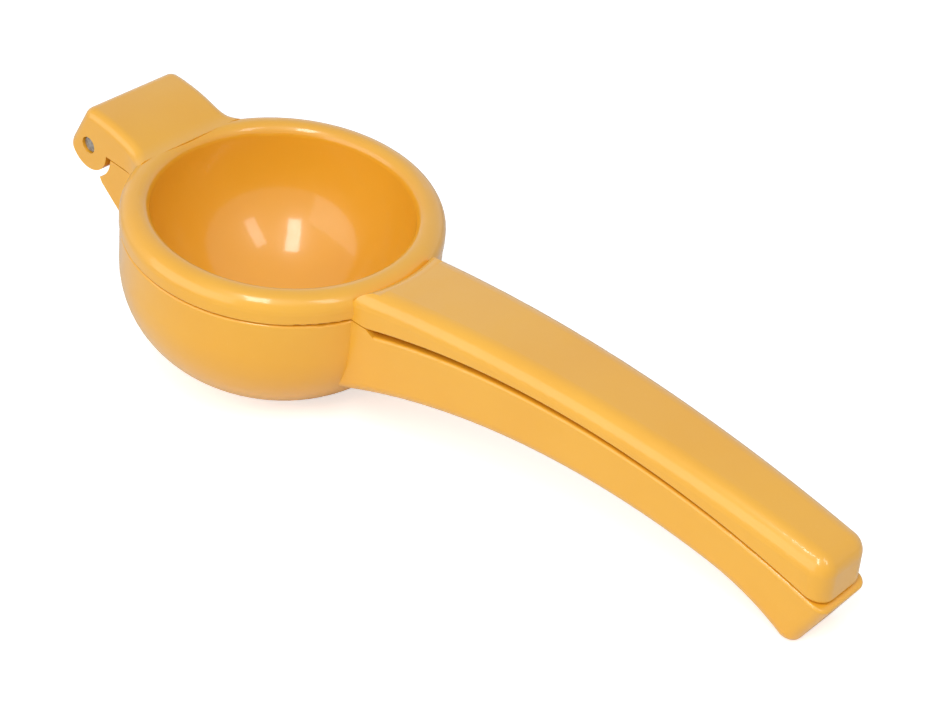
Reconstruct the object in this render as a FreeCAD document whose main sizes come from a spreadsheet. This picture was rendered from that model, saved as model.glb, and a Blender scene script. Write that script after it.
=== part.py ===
import FreeCAD, Part
import math
import os
import re
import Sketcher

# Hinged lemon squeezer: two aluminium castings on one steel hinge pin.
# The casting frame has its origin on the cup's axis in the seam plane, +X from the
# hinge to the handle tips and +Y along the hinge pin.  The whole part then leans so
# that the cup's ground foot and the toe of the lower handle stand on z = 0, and
# the origin of the finished part is the middle of that foot.

# name, size in mm (counts and angles are plain), what it is
SIZES = [
    ("ring_radius", 40.0, "outside of the press ring"),
    ("ring_height", 7.2, "top of the press ring above the seam plane"),
    ("ring_edge_round", 4.2, "outer top edge of the press ring"),
    ("ring_flat", 0.2, "flat between the two rounds of the ring's top"),
    ("bowl_wall", 2.8, "wall of the press bowl"),
    ("bowl_clearance", 1.1, "between the press bowl and the cup's wall"),
    ("seam_gap", 0.3, "gap between the two castings when closed"),
    ("seam_round", 0.7, "edge round on both sides of the seam"),
    ("cup_inset", 0.2, "cup's side behind the ring's"),
    ("cup_wall", 3.2, "wall of the cup"),
    ("cup_side", 10.3, "straight side of the cup below the seam plane"),
    ("cup_side_centre", 13.0, "centre of the arc under the side, from the cup's axis"),
    ("cup_flattening", 6.6, "radius of the floor's sphere over that of the cup"),
    ("foot_cut", 1.2, "depth of the flat ground on the cup's floor"),
    ("drain_radius", 2.0, "drain holes in the cup's floor"),
    ("drain_inner_circle", 7.5, "radius of the inner row of drain holes"),
    ("drain_outer_circle", 15.0, "radius of the outer row of drain holes"),
    ("drain_inner_count", 6, "holes in the inner row"),
    ("drain_outer_count", 12, "holes in the outer row"),
    ("hinge_setback", 15.9, "hinge pin behind the ring"),
    ("pin_radius", 2.3, "hinge pin"),
    ("pin_recess", 0.6, "pin end below the face of each ear"),
    ("pin_chamfer", 0.4, "chamfer on the pin's ends"),
    ("pin_clearance", 0.06, "radial running clearance of the pin in the knuckle"),
    ("hinge_width", 30.0, "hinge block across both ears"),
    ("ear_wall", 4.5, "ears about the pin"),
    ("knuckle_width", 14.0, "knuckle of the cup half between the ears"),
    ("knuckle_wall", 2.9, "knuckle about the pin"),
    ("knuckle_clearance", 0.5, "around and beside the knuckle"),
    ("seat_clearance", 1.7, "between the ears and the cup half's hollow seat"),
    ("block_crown_round", 50.0, "crown of the block's top"),
    ("block_blend_round", 8.0, "hollow where the block's top runs into the ring"),
    ("block_blend_angle", 19.0, "slope where that hollow meets the crown, in degrees"),
    ("block_back_lean", 5.1, "lean of the block's back face over its height"),
    ("block_back_round", 3.0, "round of the block's top back edge"),
    ("block_side_round", 2.6, "top edges along the block's sides"),
    ("block_flare", 3.0, "how far each side of the block flares out to the ring"),
    ("block_flare_round", 12.2, "hollow round of that flare"),
    ("root_overlap", 6.0, "how far the castings' limbs start inside the ring"),
    ("cove_drop", 3.0, "floor of the cove round the ring below the ring's top"),
    ("cove_round", 5.2, "hollow of that cove up to the upper handle's top"),
    ("neck_width", 26.6, "handles at the ring"),
    ("tip_width", 16.4, "handles at their tips"),
    ("neck_length", 3.0, "closed stretch between the ring and the gap of the handles"),
    ("wedge_gap", 1.0, "gap between the handles at the neck, over the seam gap"),
    ("handle_length", 131.4, "tip of the upper handle from the ring"),
    ("split_tip_height", 2.4, "underside of the upper handle at its tip"),
    ("split_round", 221.0, "arch of the line between the handles"),
    ("press_tip_height", 13.5, "top of the upper handle at its tip"),
    ("press_tip_lean", 0.8, "lean of the upper handle's end face"),
    ("press_top_round", 394.0, "arch of the upper handle's top"),
    ("press_root_height", 8.2, "top of the upper handle where it starts"),
    ("handle_top_round", 4.6, "top edges of the upper handle"),
    ("handle_end_round", 4.6, "upright edges at the upper handle's tip"),
    ("gap_round", 0.7, "edges of both handles along the gap between them"),
    ("handle_wall", 3.0, "walls of both hollow handles"),
    ("channel_setback", 10.0, "start of the handles' hollow from the ring"),
    ("belly_root_depth", 23.7, "underside of the lower handle at its root"),
    ("belly_round", 189.5, "arch of the lower handle's underside"),
    ("belly_end_depth", 4.6, "underside of the lower handle where the flare starts"),
    ("flare_length", 22.6, "flare of the lower handle from there to the toe's centre"),
    ("flare_round", 55.0, "hollow of the flare into the toe"),
    ("toe_setback", 6.8, "centre of the toe's round from the upper handle's tip"),
    ("toe_depth", 8.9, "centre of the toe's round below the seam plane"),
    ("toe_round", 3.0, "round of the toe"),
    ("toe_front_angle", 25.0, "end of the toe's round in front, below level, in degrees"),
    ("toe_back_angle", 57.0, "end of the toe's round behind, below level, in degrees"),
    ("toe_lip", 1.2, "lower handle past the tip of the upper one"),
    ("belly_edge_round", 3.0, "lower edges of the lower handle and its toe"),
    ("seat_tip_angle", 58.0, "tip of the seat below the ears, in degrees"),
    ("seat_lip", 1.6, "thickness of the seat's lip"),
    ("web_root_depth", 21.0, "where the web meets the cup"),
]

# Sizes that follow from the ones above.
DERIVED = [
    ("cup_radius", "(ring_radius - cup_inset)"),
    ("bowl_outside", "(cup_radius - cup_wall - bowl_clearance)"),
    ("bowl_radius", "(bowl_outside - bowl_wall)"),
    ("rim_round", "(ring_radius - bowl_radius - ring_edge_round - ring_flat)"),
    ("bowl_centre", "(ring_height - rim_round)"),
    ("cup_side_round", "(cup_radius - cup_side_centre)"),
    ("cup_floor_round", "(cup_radius + cup_flattening)"),
    ("floor_reach", "(cup_floor_round - cup_side_round)"),
    ("floor_centre", "(sqrt(floor_reach^2 - cup_side_centre^2) - cup_side)"),
    ("foot_distance", "(cup_floor_round - foot_cut)"),
    ("pin_distance", "(ring_radius + hinge_setback)"),
    ("ear_radius", "(pin_radius + ear_wall)"),
    ("knuckle_radius", "(pin_radius + knuckle_wall)"),
    ("seat_radius", "(ear_radius + seat_clearance)"),
    ("slot_width", "(knuckle_width + 2 * knuckle_clearance)"),
    ("block_back", "(pin_distance + ear_radius)"),
    ("blend_start", "(ring_radius - ring_edge_round - ring_flat)"),
    ("blend_end", "(blend_start + block_blend_round * sin(block_blend_angle * 1deg))"),
    (
        "blend_height",
        "(ring_height + block_blend_round * (1 - cos(block_blend_angle * 1deg)))",
    ),
    ("crown_centre", "(blend_end + block_crown_round * sin(block_blend_angle * 1deg))"),
    ("crown_drop", "(block_crown_round * cos(block_blend_angle * 1deg) - blend_height)"),
    (
        "block_height",
        "(sqrt(block_crown_round^2 - (block_back - block_back_lean - crown_centre)^2)"
        " - crown_drop)",
    ),
    ("limb_root", "(ring_radius - root_overlap)"),
    ("neck_reach", "(ring_radius + neck_length)"),
    ("channel_start", "(ring_radius + channel_setback)"),
    ("handle_reach", "(ring_radius + handle_length)"),
    ("lower_reach", "(handle_reach + toe_lip)"),
    ("toe_reach", "(handle_reach - toe_setback)"),
    ("belly_end", "(toe_reach - flare_length)"),
    ("toe_drop", "(floor_centre + toe_depth)"),
    (
        "lean_angle",
        "(asin((foot_distance - toe_round) / sqrt(toe_reach^2 + toe_drop^2))"
        " - atan(toe_drop / toe_reach))",
    ),
]


def words(names):
    """A pattern that finds any of the names as a whole word."""
    return re.compile(r"\b(" + "|".join(sorted(names, key=len, reverse=True)) + r")\b")


SIZE_NAMES = words([row[0] for row in SIZES])
DERIVED_NAMES = words([row[0] for row in DERIVED])
FORMULAS = dict(DERIVED)

doc = FreeCAD.newDocument("lemon_squeezer")
sheet = doc.addObject("Spreadsheet::Sheet", "sizes")
for row, (name, size, meaning) in enumerate(SIZES, start=1):
    sheet.set("A%d" % row, name)
    sheet.set("B%d" % row, str(size))
    sheet.setAlias("B%d" % row, name)
    sheet.set("C%d" % row, meaning)
doc.recompute()


def full(text):
    """Write an expression's names as cells of the sheet."""
    while DERIVED_NAMES.search(text):
        text = DERIVED_NAMES.sub(lambda found: FORMULAS[found.group(1)], text)
    return SIZE_NAMES.sub(r"sizes.\1", text)


def value(text):
    """The number that an expression of size names gives."""
    result = sheet.evalExpression(full(text))
    return float(getattr(result, "Value", result))


def bind(item, prop, text):
    """Tie a property of a document object to an expression of size names."""
    item.setExpression(prop, full(text))


def origin_plane(body, role):
    """The body's own origin plane of that role."""
    return next(item for item in body.Origin.OriginFeatures if item.Role == role)


def arc_centre(start, end, radius, side):
    """Centre of the arc between two points; side 1 puts it left of the way from start to end."""
    across = FreeCAD.Vector(end[0] - start[0], end[1] - start[1], 0)
    half = across.Length / 2
    rise = math.sqrt(max(radius * radius - half * half, 0.0))
    left = FreeCAD.Vector(-across.y, across.x, 0).normalize()
    return FreeCAD.Vector(start[0], start[1], 0) + across / 2 + left * rise * side


def add_outline(body, name, plane, corners):
    """A closed sketch through the corners.

    A corner is (x, y) or (x, y, radius, side): with a radius, the run to the next corner
    is an arc whose centre lies left (1) or right (-1) of it.  All are expressions.
    """
    sketch = body.newObject("Sketcher::SketchObject", name)
    sketch.AttachmentSupport = [(origin_plane(body, plane), "")]
    sketch.MapMode = "FlatFace"
    points = [(value(corner[0]), value(corner[1])) for corner in corners]
    starts = []
    ends = []
    for index, corner in enumerate(corners):
        start = points[index]
        end = points[(index + 1) % len(points)]
        if len(corner) == 2:
            line = Part.LineSegment(FreeCAD.Vector(*start, 0), FreeCAD.Vector(*end, 0))
            sketch.addGeometry(line, False)
            starts.append(1)
            ends.append(2)
            continue
        radius = value(corner[2])
        side = corner[3]
        centre = arc_centre(start, end, radius, side)
        first, last = (start, end) if side > 0 else (end, start)
        angles = [math.atan2(p[1] - centre.y, p[0] - centre.x) for p in (first, last)]
        circle = Part.Circle(centre, FreeCAD.Vector(0, 0, 1), radius)
        sketch.addGeometry(Part.ArcOfCircle(circle, angles[0], angles[1]), False)
        starts.append(1 if side > 0 else 2)
        ends.append(2 if side > 0 else 1)
    for index, corner in enumerate(corners):
        before = index - 1 if index else len(corners) - 1
        sketch.addConstraint(
            Sketcher.Constraint("Coincident", before, ends[before], index, starts[index])
        )
        for kind, axis, text, number in (
            ("DistanceX", -2, corner[0], points[index][0]),
            ("DistanceY", -1, corner[1], points[index][1]),
        ):
            if text == "0":
                sketch.addConstraint(
                    Sketcher.Constraint("PointOnObject", index, starts[index], axis)
                )
                continue
            place = sketch.addConstraint(
                Sketcher.Constraint(kind, -1, 1, index, starts[index], number)
            )
            bind(sketch, "Constraints[%d]" % place, text)
        if len(corner) > 2:
            place = sketch.addConstraint(Sketcher.Constraint("Radius", index, value(corner[2])))
            bind(sketch, "Constraints[%d]" % place, corner[2])
    return sketch


def slab(name, plane, corners, thickness):
    """A body: the outline, thickened evenly to both sides of its plane."""
    body = doc.addObject("PartDesign::Body", name)
    sketch = add_outline(body, name + "_outline", plane, corners)
    pad = body.newObject("PartDesign::Pad", name + "_pad")
    pad.Profile = sketch
    pad.Midplane = True
    bind(pad, "Length", thickness)
    sketch.Visibility = False
    return body


def turned(name, corners):
    """A body: the outline in the XZ plane, turned about the cup's axis."""
    body = doc.addObject("PartDesign::Body", name)
    sketch = add_outline(body, name + "_outline", "XZ_Plane", corners)
    turn = body.newObject("PartDesign::Revolution", name + "_turn")
    turn.Profile = sketch
    turn.ReferenceAxis = (sketch, ["V_Axis"])
    turn.Angle = 360
    return body


def combine(kind, name, pieces):
    """Fuse ("MultiFuse") or intersect ("MultiCommon") the pieces."""
    result = doc.addObject("Part::" + kind, name)
    result.Shapes = pieces
    result.Refine = True
    return result


def less(name, base, tool):
    """The base with the tool taken away; the tool has to take something."""
    result = doc.addObject("Part::Cut", name)
    result.Base = base
    result.Tool = tool
    result.Refine = True
    doc.recompute()
    if result.Shape.Volume > base.Shape.Volume - 1e-3:
        raise RuntimeError(name + " takes nothing away")
    return result


def finishing(name, base):
    """A body that goes on from a combined shape."""
    body = doc.addObject("PartDesign::Body", name)
    body.BaseFeature = base
    doc.recompute()
    return body


def edge_names(shape, test):
    """Names of the edges whose middle point and edge pass the test."""
    found = []
    for number, edge in enumerate(shape.Edges, start=1):
        middle = edge.valueAt((edge.FirstParameter + edge.LastParameter) / 2)
        if test(middle, edge):
            found.append("Edge%d" % number)
    return found


def round_edges(body, name, radius, test):
    """Round the edges of the body's last feature that pass the test."""
    base = body.Tip
    edges = edge_names(base.Shape, test)
    if not edges:
        raise RuntimeError(name + " finds no edge")
    fillet = body.newObject("PartDesign::Fillet", name)
    fillet.Base = (base, edges)
    bind(fillet, "Radius", radius)
    body.Tip = fillet
    doc.recompute()
    return fillet


def is_upright(edge):
    """True for a straight edge along Z."""
    ends = edge.Vertexes
    if len(ends) != 2:
        return False
    along = ends[1].Point - ends[0].Point
    return abs(along.z) > 0.9 * along.Length


def lean_over(item):
    """Turn a finished piece from the casting frame to how the part stands."""
    item.Placement = FreeCAD.Placement(
        FreeCAD.Vector(0, 0, 0), FreeCAD.Rotation(FreeCAD.Vector(0, 1, 0), value("lean_angle"))
    )
    bind(item, "Placement.Rotation.Angle", "lean_angle")
    bind(item, "Placement.Base.x", "-floor_centre * sin(lean_angle)")
    bind(item, "Placement.Base.z", "foot_distance - floor_centre * cos(lean_angle)")


def handle_plan(name, start, inset):
    """Plan of a handle, narrowing from its root to the tip and on past it, as a tall slab."""
    reach = "(handle_reach + neck_width)"
    root = "(neck_width / 2 - %s)" % inset
    narrowing = "(neck_width - tip_width) / 2 / (handle_reach - limb_root)"
    tip = "(neck_width / 2 - %s * (%s - limb_root) - %s)" % (narrowing, reach, inset)
    outline = [("limb_root", "-" + root), (reach, "-" + tip), (reach, tip), ("limb_root", root)]
    plan = slab(name, "XY_Plane", outline, "4 * cup_radius")
    if start == "limb_root":
        return plan
    room = doc.addObject("Part::Box", name + "_from")
    bind(room, "Length", "2 * handle_reach")
    bind(room, "Width", "2 * neck_width")
    bind(room, "Height", "2 * cup_radius")
    bind(room, "Placement.Base.x", start)
    bind(room, "Placement.Base.y", "-neck_width")
    bind(room, "Placement.Base.z", "-cup_radius")
    return combine("MultiCommon", name + "_part", [plan, room])


# Press half: ring, bowl, hinge block with two ears, and the upper handle.

press_shell = turned(
    "press_shell",
    [
        ("0", "bowl_centre - bowl_radius", "bowl_radius", 1),
        ("bowl_radius", "bowl_centre", "rim_round", -1),
        ("bowl_radius + rim_round", "ring_height"),
        ("ring_radius - ring_edge_round", "ring_height", "ring_edge_round", -1),
        ("ring_radius", "ring_height - ring_edge_round"),
        ("ring_radius", "seam_gap / 2 + seam_round", "seam_round", -1),
        ("ring_radius - seam_round", "seam_gap / 2"),
        (
            "sqrt(bowl_outside^2 - (bowl_centre - seam_gap / 2)^2)",
            "seam_gap / 2",
            "bowl_outside",
            -1,
        ),
        ("0", "bowl_centre - bowl_outside"),
    ],
)

upper_side = slab(
    "upper_side",
    "XZ_Plane",
    [
        ("limb_root", "seam_gap / 2"),
        ("neck_reach", "seam_gap / 2", "split_round", -1),
        ("handle_reach", "split_tip_height"),
        ("handle_reach - press_tip_lean", "press_tip_height", "press_top_round", 1),
        ("limb_root", "press_root_height"),
    ],
    "2 * neck_width",
)
upper_plan = handle_plan("upper_plan", "limb_root", "0")
upper_blank = combine("MultiCommon", "upper_blank", [upper_side, upper_plan])
upper_handle = finishing("upper_handle", upper_blank)
tip_x = value("handle_reach - 2")
round_edges(
    upper_handle,
    "upper_end_round",
    "handle_end_round",
    lambda p, e: p.x > tip_x and is_upright(e),
)
top_start = value("limb_root + 1")
top_line = value("press_tip_height - press_tip_lean")
round_edges(
    upper_handle,
    "upper_top_round",
    "handle_top_round",
    lambda p, e: p.x > top_start and p.z > top_line and not is_upright(e),
)

gap_start = value("neck_reach + 2 * wedge_gap")
round_edges(
    upper_handle,
    "upper_gap_round",
    "gap_round",
    lambda p, e: p.x > gap_start and p.z < top_line and not is_upright(e),
)

upper_hollow_side = slab(
    "upper_hollow_side",
    "XZ_Plane",
    [
        ("limb_root", "-wedge_gap - handle_wall"),
        ("handle_reach - handle_wall", "-wedge_gap - handle_wall"),
        (
            "handle_reach - press_tip_lean - handle_wall",
            "press_tip_height - handle_wall",
            "press_top_round - handle_wall",
            1,
        ),
        ("limb_root", "press_root_height - handle_wall"),
    ],
    "2 * neck_width",
)
upper_hollow_plan = handle_plan("upper_hollow_plan", "channel_start", "handle_wall")
upper_hollow = combine("MultiCommon", "upper_hollow", [upper_hollow_side, upper_hollow_plan])

block_side = slab(
    "block_side",
    "XZ_Plane",
    [
        ("-block_back", "0", "ear_radius", 1),
        ("-pin_distance", "-ear_radius", "ear_radius", 1),
        ("-pin_distance + sqrt(ear_radius^2 - seam_gap^2 / 4)", "seam_gap / 2"),
        ("-limb_root", "seam_gap / 2"),
        ("-limb_root", "ring_height"),
        ("-blend_start", "ring_height", "block_blend_round", -1),
        ("-blend_end", "blend_height", "block_crown_round", 1),
        ("-block_back + block_back_lean", "block_height"),
    ],
    "3 * hinge_width",
)
flare_run = "sqrt(block_flare * (2 * block_flare_round - block_flare))"
block_plan = slab(
    "block_plan",
    "XY_Plane",
    [
        ("-block_back - hinge_width", "-hinge_width / 2"),
        ("-limb_root - " + flare_run, "-hinge_width / 2", "block_flare_round", -1),
        ("-limb_root", "-hinge_width / 2 - block_flare"),
        ("-limb_root", "hinge_width / 2 + block_flare", "block_flare_round", -1),
        ("-limb_root - " + flare_run, "hinge_width / 2"),
        ("-block_back - hinge_width", "hinge_width / 2"),
    ],
    "3 * hinge_width",
)
block_blank = combine("MultiCommon", "block_blank", [block_side, block_plan])
block = finishing("block", block_blank)
corner_z = value("block_height")
round_edges(
    block,
    "block_back_rounds",
    "block_back_round",
    lambda p, e: abs(p.z - corner_z) < 0.01 and abs(p.y) < 0.01,
)
half_width = value("hinge_width / 2")
side_z = value("ring_height - 0.1 * ring_edge_round")
block_front = value("-limb_root - 0.1 * block_flare")
round_edges(
    block,
    "block_side_rounds",
    "block_side_round",
    lambda p, e: p.z > side_z and abs(p.y) > half_width - 0.01 and p.x < block_front
    and not is_upright(e),
)

# The upper handle's top falls to the ring in a cove that runs round the ring.
neck_cove = turned(
    "neck_cove",
    [
        ("0", "ring_height - cove_drop"),
        ("ring_radius - 0.6", "ring_height - cove_drop", "cove_round", -1),
        ("ring_radius - 0.6 + cove_round", "ring_height - cove_drop + cove_round"),
        ("ring_radius - 0.6 + cove_round", "3 * press_tip_height"),
        ("0", "3 * press_tip_height"),
    ],
)
upper_neck = less("upper_neck", upper_handle, neck_cove)
press_parts = combine("MultiFuse", "press_parts", [press_shell, block, upper_neck])
press_channel = less("press_channel", press_parts, upper_hollow)

# Room for the cup half's knuckle: round about the pin, and open below the seam.
slot_round = doc.addObject("Part::Cylinder", "slot_round")
bind(slot_round, "Radius", "knuckle_radius + knuckle_clearance")
bind(slot_round, "Height", "slot_width")
slot_round.Placement = FreeCAD.Placement(
    FreeCAD.Vector(0, 0, 0), FreeCAD.Rotation(FreeCAD.Vector(1, 0, 0), -90)
)
bind(slot_round, "Placement.Base.x", "-pin_distance")
bind(slot_round, "Placement.Base.y", "-slot_width / 2")
slot_below = doc.addObject("Part::Box", "slot_below")
bind(slot_below, "Length", "2 * ear_radius + 2 * seat_clearance")
bind(slot_below, "Width", "slot_width")
bind(slot_below, "Height", "2 * ear_radius")
bind(slot_below, "Placement.Base.x", "-pin_distance - ear_radius - seat_clearance")
bind(slot_below, "Placement.Base.y", "-slot_width / 2")
bind(slot_below, "Placement.Base.z", "seam_gap / 2 - 2 * ear_radius")
slot = combine("MultiFuse", "slot", [slot_round, slot_below])


def pin_hole(name, radius):
    """A bar along the hinge axis, longer than the hinge is wide."""
    hole = doc.addObject("Part::Cylinder", name)
    bind(hole, "Radius", radius)
    bind(hole, "Height", "2 * hinge_width")
    hole.Placement = FreeCAD.Placement(
        FreeCAD.Vector(0, 0, 0), FreeCAD.Rotation(FreeCAD.Vector(1, 0, 0), -90)
    )
    bind(hole, "Placement.Base.x", "-pin_distance")
    bind(hole, "Placement.Base.y", "-hinge_width")
    return hole


press_slotted = less("press_slotted", press_channel, slot)
press_bored = less("press_bored", press_slotted, pin_hole("ear_hole", "pin_radius"))
press_half = finishing("press_half", press_bored)

# Cup half: cup with drain holes, hinge seat with knuckle, and the lower handle.

def cup_outline(offset):
    """Half outline of the cup, offset inwards, from the seam to the axis."""
    side = "(cup_side_round - %s)" % offset
    floor = "(cup_floor_round - %s)" % offset
    share = "(%s / (cup_floor_round - cup_side_round))" % floor
    return [
        ("cup_radius - " + offset, "-cup_side", side, -1),
        (
            share + " * cup_side_centre",
            "floor_centre - " + share + " * (floor_centre + cup_side)",
            floor,
            -1,
        ),
        ("0", "floor_centre - " + floor),
    ]


cup_shell = turned(
    "cup_shell",
    [
        ("0", "-seam_gap / 2"),
        ("cup_radius - seam_round", "-seam_gap / 2", "seam_round", -1),
        ("cup_radius", "-seam_gap / 2 - seam_round"),
    ]
    + cup_outline("0"),
)
cup_inside = turned(
    "cup_inside",
    [("0", "ring_height"), ("cup_radius - cup_wall", "ring_height")] + cup_outline("cup_wall"),
)

lower_side = slab(
    "lower_side",
    "XZ_Plane",
    [
        ("limb_root", "-seam_gap / 2"),
        ("neck_reach - wedge_gap", "-seam_gap / 2"),
        ("neck_reach + wedge_gap", "-seam_gap / 2 - wedge_gap", "split_round", -1),
        ("lower_reach", "split_tip_height - seam_gap - toe_lip / 4"),
        (
            "toe_reach + toe_round * cos(toe_front_angle * 1deg)",
            "-toe_depth - toe_round * sin(toe_front_angle * 1deg)",
            "toe_round",
            -1,
        ),
        (
            "toe_reach - toe_round * cos(toe_back_angle * 1deg)",
            "-toe_depth - toe_round * sin(toe_back_angle * 1deg)",
            "flare_round",
            1,
        ),
        ("belly_end", "-belly_end_depth", "belly_round", 1),
        ("limb_root", "-belly_root_depth"),
    ],
    "2 * neck_width",
)
lower_plan = handle_plan("lower_plan", "limb_root", "0")
lower_blank = combine("MultiCommon", "lower_blank", [lower_side, lower_plan])
lower_handle = finishing("lower_handle", lower_blank)
toe_x = value("belly_end")
round_edges(
    lower_handle,
    "lower_edge_round",
    "belly_edge_round",
    lambda p, e: p.x > toe_x and is_upright(e),
)

belly_z = value("-belly_end_depth / 2")
round_edges(
    lower_handle,
    "lower_gap_round",
    "gap_round",
    lambda p, e: p.x > gap_start and p.z > belly_z and not is_upright(e),
)

lower_hollow_side = slab(
    "lower_hollow_side",
    "XZ_Plane",
    [
        ("limb_root", "2 * press_tip_height"),
        ("limb_root", "-belly_root_depth + handle_wall", "belly_round", -1),
        ("belly_end", "-belly_end_depth + handle_wall"),
        ("toe_reach - handle_wall", "-belly_end_depth + handle_wall"),
        ("toe_reach", "2 * press_tip_height"),
    ],
    "2 * neck_width",
)
lower_hollow_plan = handle_plan("lower_hollow_plan", "channel_start", "handle_wall")
lower_hollow = combine("MultiCommon", "lower_hollow", [lower_hollow_side, lower_hollow_plan])

# Seat under the ears, as wide as the hinge, with a lip, and the web down to the cup.
TIP_COS = "cos(seat_tip_angle * 1deg)"
TIP_SIN = "sin(seat_tip_angle * 1deg)"
web = slab(
    "web",
    "XZ_Plane",
    [
        (
            "-pin_distance + sqrt(seat_radius^2 - seam_gap^2 / 4)",
            "-seam_gap / 2",
            "seat_radius",
            -1,
        ),
        (
            "-pin_distance + seat_radius * " + TIP_COS,
            "-seat_radius * " + TIP_SIN,
        ),
        (
            "-pin_distance + (seat_radius + seat_lip) * " + TIP_COS,
            "-(seat_radius + seat_lip) * " + TIP_SIN,
        ),
        ("-limb_root", "-web_root_depth"),
        ("-limb_root", "-seam_gap / 2"),
    ],
    "hinge_width",
)
knuckle_neck = slab(
    "knuckle_neck",
    "XZ_Plane",
    [
        ("-pin_distance", "-seam_gap / 2"),
        (
            "-pin_distance + knuckle_radius * " + TIP_COS,
            "-knuckle_radius * " + TIP_SIN,
        ),
        (
            "-pin_distance + (seat_radius + seat_lip / 2) * " + TIP_COS,
            "-(seat_radius + seat_lip / 2) * " + TIP_SIN,
        ),
        ("-limb_root", "-seat_radius"),
        ("-limb_root", "-seam_gap / 2"),
    ],
    "knuckle_width",
)
knuckle_round = doc.addObject("Part::Cylinder", "knuckle_round")
bind(knuckle_round, "Radius", "knuckle_radius")
bind(knuckle_round, "Height", "knuckle_width")
knuckle_round.Placement = FreeCAD.Placement(
    FreeCAD.Vector(0, 0, 0), FreeCAD.Rotation(FreeCAD.Vector(1, 0, 0), -90)
)
bind(knuckle_round, "Placement.Base.x", "-pin_distance")
bind(knuckle_round, "Placement.Base.y", "-knuckle_width / 2")

cup_parts = combine(
    "MultiFuse", "cup_parts", [cup_shell, web, knuckle_neck, knuckle_round, lower_handle]
)
cup_channel = less("cup_channel", cup_parts, lower_hollow)
cup_hollow = less("cup_hollow", cup_channel, cup_inside)
cup_bored = less(
    "cup_bored", cup_hollow, pin_hole("knuckle_hole", "pin_radius + pin_clearance")
)
cup_casting = finishing("cup_casting", cup_bored)


def drain_row(name, circle, count):
    """A row of drain holes through the cup's floor; circle "0" gives one on the axis."""
    sketch = cup_casting.newObject("Sketcher::SketchObject", name + "_sketch")
    sketch.AttachmentSupport = [(origin_plane(cup_casting, "XY_Plane"), "")]
    sketch.MapMode = "FlatFace"
    round_hole = Part.Circle(
        FreeCAD.Vector(value(circle), 0, 0), FreeCAD.Vector(0, 0, 1), value("drain_radius")
    )
    sketch.addGeometry(round_hole, False)
    place = sketch.addConstraint(Sketcher.Constraint("Radius", 0, value("drain_radius")))
    bind(sketch, "Constraints[%d]" % place, "drain_radius")
    sketch.addConstraint(Sketcher.Constraint("PointOnObject", 0, 3, -1))
    if count:
        place = sketch.addConstraint(
            Sketcher.Constraint("DistanceX", -1, 1, 0, 3, value(circle))
        )
        bind(sketch, "Constraints[%d]" % place, circle)
    else:
        sketch.addConstraint(Sketcher.Constraint("PointOnObject", 0, 3, -2))
    pocket = cup_casting.newObject("PartDesign::Pocket", name)
    pocket.Profile = sketch
    pocket.Type = "Length"
    bind(pocket, "Length", "cup_side + cup_floor_round")
    pocket.Reversed = False
    cup_casting.Tip = pocket
    doc.recompute()
    if not count:
        return
    pattern = cup_casting.newObject("PartDesign::PolarPattern", name + "_row")
    pattern.Originals = [pocket]
    pattern.Axis = (sketch, ["N_Axis"])
    pattern.Angle = 360
    bind(pattern, "Occurrences", count)
    cup_casting.Tip = pattern
    doc.recompute()


drain_row("drain_middle", "0", None)
drain_row("drain_inner", "drain_inner_circle", "drain_inner_count")
drain_row("drain_outer", "drain_outer_circle", "drain_outer_count")
lean_over(cup_casting)

ground = doc.addObject("Part::Box", "ground")
bind(ground, "Length", "4 * cup_radius")
bind(ground, "Width", "4 * cup_radius")
bind(ground, "Height", "cup_radius")
bind(ground, "Placement.Base.x", "-2 * cup_radius")
bind(ground, "Placement.Base.y", "-2 * cup_radius")
bind(ground, "Placement.Base.z", "-cup_radius")
cup_half = less("cup_half", cup_casting, ground)

# Hinge pin, a press fit in the ears.
hinge_pin = doc.addObject("PartDesign::Body", "hinge_pin")
pin_sketch = hinge_pin.newObject("Sketcher::SketchObject", "pin_sketch")
pin_sketch.AttachmentSupport = [(origin_plane(hinge_pin, "XZ_Plane"), "")]
pin_sketch.MapMode = "FlatFace"
pin_circle = Part.Circle(
    FreeCAD.Vector(value("-pin_distance"), 0, 0), FreeCAD.Vector(0, 0, 1), value("pin_radius")
)
pin_sketch.addGeometry(pin_circle, False)
pin_sketch.addConstraint(Sketcher.Constraint("PointOnObject", 0, 3, -1))
pin_place = pin_sketch.addConstraint(
    Sketcher.Constraint("DistanceX", -1, 1, 0, 3, value("-pin_distance"))
)
bind(pin_sketch, "Constraints[%d]" % pin_place, "-pin_distance")
pin_size = pin_sketch.addConstraint(Sketcher.Constraint("Radius", 0, value("pin_radius")))
bind(pin_sketch, "Constraints[%d]" % pin_size, "pin_radius")
pin_pad = hinge_pin.newObject("PartDesign::Pad", "pin_pad")
pin_pad.Profile = pin_sketch
pin_pad.Midplane = True
bind(pin_pad, "Length", "hinge_width - 2 * pin_recess")
doc.recompute()
pin_ends = hinge_pin.newObject("PartDesign::Chamfer", "pin_ends")
pin_ends.Base = (pin_pad, edge_names(pin_pad.Shape, lambda p, e: len(e.Vertexes) == 1))
bind(pin_ends, "Size", "pin_chamfer")
hinge_pin.Tip = pin_ends

lean_over(press_half)
lean_over(hinge_pin)
doc.recompute()

for item in doc.Objects:
    if "Invalid" in item.State or "Error" in item.State:
        raise RuntimeError(item.Name + " failed: " + str(item.State))
os.makedirs("parts", exist_ok=True)
for item in (press_half, cup_half, hinge_pin):
    item.Label = item.Name
    if item.Shape.isNull() or not item.Shape.isValid() or len(item.Shape.Solids) != 1:
        raise RuntimeError(item.Name + " is not one valid solid")
    item.Shape.exportStep("parts/" + item.Label + ".step")
    print(item.Label, round(item.Shape.Volume), item.Shape.BoundBox)
print("lean", value("lean_angle"), "floor centre", value("floor_centre"))
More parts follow.
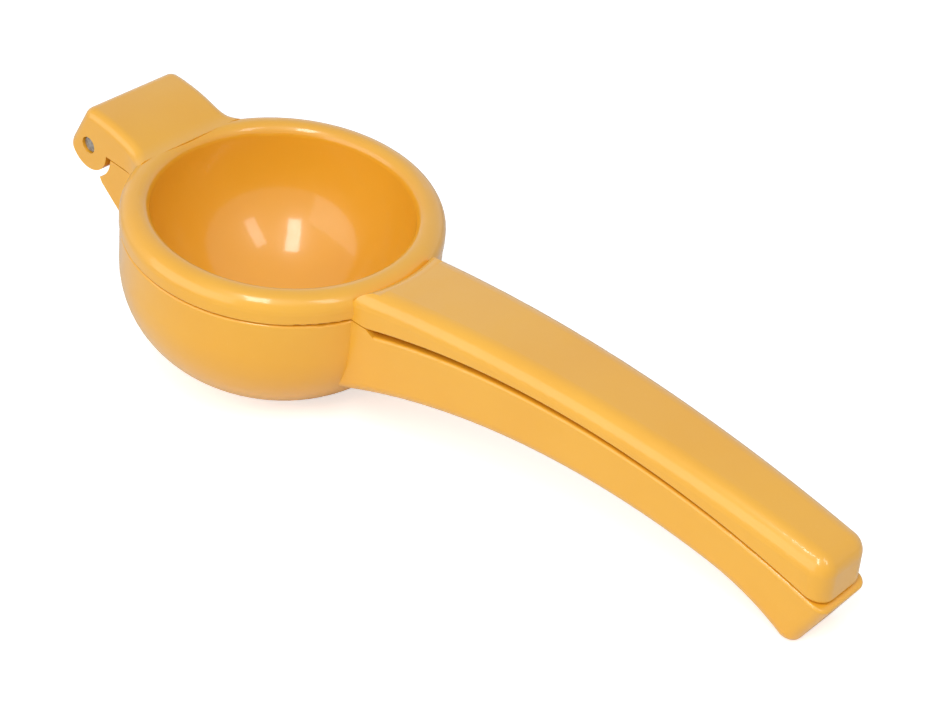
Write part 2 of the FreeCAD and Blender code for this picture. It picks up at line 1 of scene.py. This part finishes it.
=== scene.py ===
"""Hinged lemon squeezer in glossy yellow enamel, lying closed on a white sweep."""

import logging
import math
import sys
from dataclasses import dataclass
from enum import Enum
from typing import Union

import bpy
from mathutils import Matrix, Vector


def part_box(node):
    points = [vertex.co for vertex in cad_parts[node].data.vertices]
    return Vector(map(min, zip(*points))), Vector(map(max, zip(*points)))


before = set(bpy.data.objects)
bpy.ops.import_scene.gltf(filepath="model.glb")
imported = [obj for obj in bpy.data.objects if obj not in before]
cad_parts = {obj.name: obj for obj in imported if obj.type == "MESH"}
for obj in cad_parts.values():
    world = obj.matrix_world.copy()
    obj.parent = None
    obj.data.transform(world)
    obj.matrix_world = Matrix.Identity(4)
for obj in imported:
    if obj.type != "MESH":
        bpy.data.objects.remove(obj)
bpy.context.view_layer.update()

Number = Union[int, float]
Colour = tuple[float, float, float]

LOG = logging.getLogger("lemon_squeezer")
MM = 0.001


class Node(Enum):
    """The frame's nodes, one for each piece of the squeezer."""

    PRESS_HALF = "press_half"
    CUP_HALF = "cup_half"
    HINGE_PIN = "hinge_pin"


class Wire:
    """A shader socket that can be used in arithmetic."""

    def __init__(self, graph: "Graph", socket: bpy.types.NodeSocket) -> None:
        """Keep the socket and the graph that new nodes go into.

        Args:
            graph: The material's graph.
            socket: The output socket that gives the value.
        """
        self.graph = graph
        self.socket = socket

    def maths(self, operation: str, *others: Union["Wire", Number], flip: bool = False) -> "Wire":
        """Add a Math node.

        Args:
            operation: The Math node's operation.
            others: The values after this one.
            flip: Put this value second instead of first.

        Returns:
            The node's result.
        """
        values = (*others, self) if flip else (self, *others)
        settings = {"operation": operation}
        return self.graph.node("ShaderNodeMath", settings, dict(enumerate(values)))

    def __add__(self, other: Union["Wire", Number]) -> "Wire":
        """This value plus another.

        Args:
            other: The other value.

        Returns:
            The sum.
        """
        return self.maths("ADD", other)

    def __radd__(self, other: Number) -> "Wire":
        """A number plus this value.

        Args:
            other: The number.

        Returns:
            The sum.
        """
        return self.maths("ADD", other, flip=True)

    def __mul__(self, other: Union["Wire", Number]) -> "Wire":
        """This value times another.

        Args:
            other: The other value.

        Returns:
            The product.
        """
        return self.maths("MULTIPLY", other)

    def __rmul__(self, other: Number) -> "Wire":
        """A number times this value.

        Args:
            other: The number.

        Returns:
            The product.
        """
        return self.maths("MULTIPLY", other, flip=True)

    def between(self, low: Number, high: Number) -> "Wire":
        """Run smoothly from 0 at low to 1 at high.

        Args:
            low: Where the result leaves 0.
            high: Where it reaches 1.

        Returns:
            The eased value.
        """
        settings = {"interpolation_type": "SMOOTHSTEP"}
        values = {"Value": self, "From Min": low, "From Max": high}
        return self.graph.node("ShaderNodeMapRange", settings, values, "Result")


class Graph:
    """A material's node graph, made from nothing."""

    def __init__(self, name: str) -> None:
        """Make the material and its output.

        Args:
            name: The material's name.
        """
        self.material = bpy.data.materials.new(name)
        self.material.use_nodes = True
        self.tree = self.material.node_tree
        self.tree.nodes.clear()
        self.output = self.tree.nodes.new("ShaderNodeOutputMaterial")

    def node(
        self, kind: str, settings: dict, values: dict, result: Union[str, int] = 0
    ) -> Wire:
        """Add one node.

        Args:
            kind: The node's type.
            settings: The node's own properties, set before its sockets.
            values: A number, colour or wire for each named or numbered input.
            result: The output that is wanted.

        Returns:
            The wanted output.
        """
        made = self.tree.nodes.new(kind)
        for key, setting in settings.items():
            setattr(made, key, setting)
        for key, value in values.items():
            if isinstance(value, Wire):
                self.tree.links.new(value.socket, made.inputs[key])
            else:
                made.inputs[key].default_value = value
        return Wire(self, made.outputs[result])

    def place(self) -> Wire:
        """Read the point's place on the piece.

        Returns:
            The place, in metres.
        """
        return self.node("ShaderNodeTexCoord", {}, {}, "Object")

    def noise(self, size: float, detail: float = 2.0, roughness: float = 0.5) -> Wire:
        """Soft noise with blotches of about one size.

        Args:
            size: The blotches' size in metres.
            detail: Octaves of finer noise.
            roughness: Weight of the finer octaves.

        Returns:
            A value around 0.5.
        """
        values = {
            "Vector": self.place(),
            "Scale": 1.0 / size,
            "Detail": detail,
            "Roughness": roughness,
        }
        return self.node("ShaderNodeTexNoise", {}, values, "Fac")

    def mix(self, factor: Wire, first: Union[Wire, Colour], second: Union[Wire, Colour]) -> Wire:
        """Mix two colours.

        Args:
            factor: 0 gives the first colour and 1 the second.
            first: One colour.
            second: The other.

        Returns:
            The mixed colour.
        """
        values = {
            "Factor": factor,
            "A": first if isinstance(first, Wire) else (*first, 1.0),
            "B": second if isinstance(second, Wire) else (*second, 1.0),
        }
        made = self.tree.nodes.new("ShaderNodeMix")
        made.data_type = "RGBA"
        # The node has A and B once for each data type; these are the colour ones.
        slots = {"Factor": made.inputs[0], "A": made.inputs[6], "B": made.inputs[7]}
        for key, value in values.items():
            if isinstance(value, Wire):
                self.tree.links.new(value.socket, slots[key])
            else:
                slots[key].default_value = value
        return Wire(self, made.outputs[2])

    def bump(self, height: Wire, depth: float, base: Union[Wire, None] = None) -> Wire:
        """Turn a height into a bent normal.

        Args:
            height: The height, from 0 to 1.
            depth: How deep that is, in metres.
            base: A normal to start from.

        Returns:
            The normal.
        """
        values = {"Height": height, "Distance": depth, "Strength": 1.0}
        if base is not None:
            values["Normal"] = base
        return self.node("ShaderNodeBump", {}, values, "Normal")

    def finish(self, shader: Wire) -> bpy.types.Material:
        """Send the shader to the output.

        Args:
            shader: The finished shader.

        Returns:
            The material.
        """
        self.tree.links.new(shader.socket, self.output.inputs["Surface"])
        return self.material


@dataclass(frozen=True)
class Enamel:
    """Thick glossy enamel on a casting."""

    name: str
    colour: Colour = (0.90, 0.455, 0.030)
    deep: Colour = (0.86, 0.405, 0.020)
    pale: Colour = (0.93, 0.505, 0.060)
    gloss: float = 0.30
    gloss_spread: float = 0.12
    coat: float = 0.70
    coat_roughness: float = 0.09
    peel_size: float = 1.7 * MM
    peel_depth: float = 0.010 * MM
    swell_size: float = 11.0 * MM
    swell_depth: float = 0.05 * MM
    cloud_size: float = 28.0 * MM
    cloud_share: float = 0.55
    speck_size: float = 0.8 * MM
    speck_share: float = 0.25
    wipe_size: float = 9.0 * MM
    refraction: float = 1.5

    def material(self) -> bpy.types.Material:
        """Make the enamel, with its flow marks, cloudiness and faint orange peel.

        Returns:
            The material.
        """
        graph = Graph(self.name)
        cloud = graph.noise(self.cloud_size, detail=3.0).between(0.30, 0.70)
        speck = graph.noise(self.speck_size, detail=1.0).between(0.66, 0.80)
        body = graph.mix(cloud * self.cloud_share, self.colour, self.deep)
        body = graph.mix(speck * self.speck_share, body, self.pale)
        wipe = graph.noise(self.wipe_size, detail=4.0, roughness=0.62).between(0.35, 0.75)
        swell = graph.bump(graph.noise(self.swell_size, detail=1.0), self.swell_depth)
        peel = graph.bump(graph.noise(self.peel_size, detail=1.5), self.peel_depth, swell)
        shader = graph.node(
            "ShaderNodeBsdfPrincipled",
            {},
            {
                "Base Color": body,
                "Roughness": self.gloss + wipe * self.gloss_spread,
                "Coat Weight": self.coat,
                "Coat Roughness": self.coat_roughness,
                "IOR": self.refraction,
                "Normal": peel,
            },
        )
        return graph.finish(shader)


@dataclass(frozen=True)
class PinSteel:
    """Turned steel with a film of oil and grime in noisy blotches."""

    name: str
    colour: Colour = (0.46, 0.44, 0.41)
    grime: Colour = (0.16, 0.13, 0.10)
    roughness: float = 0.30
    blotch_size: float = 1.1 * MM
    blotch_share: float = 0.7
    blotch_roughness: float = 0.25
    scratch_size: float = 0.22 * MM
    scratch_depth: float = 0.012 * MM

    def material(self) -> bpy.types.Material:
        """Make the steel, with turning marks and blotches.

        Returns:
            The material.
        """
        graph = Graph(self.name)
        blotch = graph.noise(self.blotch_size, detail=4.0, roughness=0.6).between(0.42, 0.70)
        scratch = graph.noise(self.scratch_size, detail=2.0)
        shader = graph.node(
            "ShaderNodeBsdfPrincipled",
            {},
            {
                "Base Color": graph.mix(blotch * self.blotch_share, self.colour, self.grime),
                "Metallic": 1.0,
                "Roughness": self.roughness + blotch * self.blotch_roughness,
                "Normal": graph.bump(scratch, self.scratch_depth),
            },
        )
        return graph.finish(shader)


class Piece:
    """One CAD piece shown as it is, with a finish."""

    node: Node
    finish: Union[Enamel, PinSteel]

    def dress(self) -> bpy.types.Object:
        """Put the finish on every slot of the node's object.

        Returns:
            The object.
        """
        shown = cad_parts[self.node.value]
        made = self.finish.material()
        for slot in shown.material_slots:
            slot.material = made
        return shown

    def report(self) -> None:
        """Dress the piece and log its box."""
        shown = self.dress()
        low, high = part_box(self.node.value)
        size = " x ".join("%.1f" % (side / MM) for side in high - low)
        LOG.info("%s: %s mm, %d faces", shown.name, size, len(shown.data.polygons))


@dataclass
class PressHalf(Piece):
    """Ring, bowl, hinge block and upper handle."""

    node: Node = Node.PRESS_HALF
    finish: Enamel = Enamel("press_enamel")


@dataclass
class CupHalf(Piece):
    """Strainer cup, hinge seat, knuckle and lower handle."""

    node: Node = Node.CUP_HALF
    finish: Enamel = Enamel("cup_enamel")


@dataclass
class HingePin(Piece):
    """The pin pressed into the ears."""

    node: Node = Node.HINGE_PIN
    finish: PinSteel = PinSteel("pin_steel")


@dataclass
class Softbox:
    """A rectangular lamp aimed at the squeezer."""

    name: str
    azimuth: float
    elevation: float
    distance: float
    width: float
    height: float
    watts: float
    aim: tuple[float, float, float] = (0.05, 0.0, 0.03)

    def build(self) -> bpy.types.Object:
        """Make the lamp.

        Returns:
            The lamp's object.
        """
        data = bpy.data.lights.new(self.name, "AREA")
        data.shape = "RECTANGLE"
        data.size = self.width
        data.size_y = self.height
        data.energy = self.watts
        lamp = bpy.data.objects.new(self.name, data)
        bpy.context.scene.collection.objects.link(lamp)
        turn = math.radians(self.azimuth)
        rise = math.radians(self.elevation)
        away = Vector(
            (math.sin(turn) * math.cos(rise), -math.cos(turn) * math.cos(rise), math.sin(rise))
        )
        lamp.location = Vector(self.aim) + away * self.distance
        lamp.rotation_euler = away.to_track_quat("Z", "Y").to_euler()
        return lamp


@dataclass
class Studio:
    """White sweep, soft lamps and an even white surround."""

    floor_size: float = 4.0
    floor_colour: Colour = (0.88, 0.88, 0.88)
    floor_lift: float = 0.60
    floor_roughness: float = 0.9
    surround: float = 0.36

    def floor(self) -> None:
        """Make the floor: white to the camera, with the squeezer's soft shadow."""
        half = self.floor_size / 2
        mesh = bpy.data.meshes.new("floor")
        corners = [(-half, -half, 0), (half, -half, 0), (half, half, 0), (-half, half, 0)]
        mesh.from_pydata(corners, [], [(0, 1, 2, 3)])
        floor = bpy.data.objects.new("floor", mesh)
        bpy.context.scene.collection.objects.link(floor)
        graph = Graph("floor_white")
        seen = graph.node("ShaderNodeLightPath", {}, {}, "Is Camera Ray")
        shader = graph.node(
            "ShaderNodeBsdfPrincipled",
            {},
            {
                "Base Color": (*self.floor_colour, 1.0),
                "Roughness": self.floor_roughness,
                "Emission Color": graph.mix(seen, (0.0, 0.0, 0.0), (1.0, 1.0, 1.0)),
                "Emission Strength": self.floor_lift,
            },
        )
        mesh.materials.append(graph.finish(shader))

    def lamps(self) -> None:
        """Set up the softboxes."""
        boxes = (
            Softbox(
                name="wall", azimuth=-15.0, elevation=18.0, distance=1.20,
                width=1.40, height=1.10, watts=6.0,
            ),
            Softbox(
                name="window", azimuth=34.0, elevation=52.0, distance=0.90,
                width=0.19, height=0.48, watts=3.0,
            ),
            Softbox(
                name="strip", azimuth=85.0, elevation=43.0, distance=0.90,
                width=0.17, height=0.42, watts=1.0,
            ),
        )
        for box in boxes:
            box.build()

    def sky(self) -> None:
        """White world: full strength to the camera and in reflections, softer as light."""
        world = bpy.data.worlds.new("surround")
        bpy.context.scene.world = world
        world.use_nodes = True
        tree = world.node_tree
        tree.nodes.clear()
        path = tree.nodes.new("ShaderNodeLightPath")
        plain = tree.nodes.new("ShaderNodeMath")
        plain.operation = "MAXIMUM"
        tree.links.new(path.outputs["Is Camera Ray"], plain.inputs[0])
        tree.links.new(path.outputs["Is Glossy Ray"], plain.inputs[1])
        strength = tree.nodes.new("ShaderNodeMapRange")
        strength.inputs["To Min"].default_value = self.surround
        strength.inputs["To Max"].default_value = 1.0
        tree.links.new(plain.outputs[0], strength.inputs["Value"])
        background = tree.nodes.new("ShaderNodeBackground")
        background.inputs["Color"].default_value = (1.0, 1.0, 1.0, 1.0)
        tree.links.new(strength.outputs["Result"], background.inputs["Strength"])
        output = tree.nodes.new("ShaderNodeOutputWorld")
        tree.links.new(background.outputs[0], output.inputs["Surface"])

    def build(self) -> None:
        """Make the whole set."""
        self.floor()
        self.lamps()
        self.sky()
        bpy.context.scene.view_settings.view_transform = "Standard"


@dataclass
class PhotoCamera:
    """The camera at the photograph's angle."""

    aim: tuple[float, float, float] = (0.06226, -0.00063, 0.02881)
    azimuth: float = 43.763
    elevation: float = 31.985
    roll: float = 1.610
    distance: float = 0.55335
    lens: float = 90.97
    sensor: float = 36.0

    def build(self) -> None:
        """Make the camera and use it."""
        data = bpy.data.cameras.new("camera")
        data.lens = self.lens
        data.sensor_width = self.sensor
        camera = bpy.data.objects.new("camera", data)
        bpy.context.scene.collection.objects.link(camera)
        turn = math.radians(self.azimuth)
        rise = math.radians(self.elevation)
        back = Vector(
            (math.sin(turn) * math.cos(rise), -math.cos(turn) * math.cos(rise), math.sin(rise))
        )
        level = back.to_track_quat("Z", "Y").to_matrix().to_4x4()
        tilt = Matrix.Rotation(math.radians(-self.roll), 4, "Z")
        place = Matrix.Translation(Vector(self.aim) + back * self.distance)
        camera.matrix_world = place @ level @ tilt
        bpy.context.scene.camera = camera


def main() -> None:
    """Build the set and dress each piece in turn."""
    logging.basicConfig(level=logging.INFO, format="%(message)s", stream=sys.stdout)
    PhotoCamera().build()
    Studio().build()
    for piece in (CupHalf(), PressHalf(), HingePin()):
        piece.report()


if __name__ == "__main__":
    main()
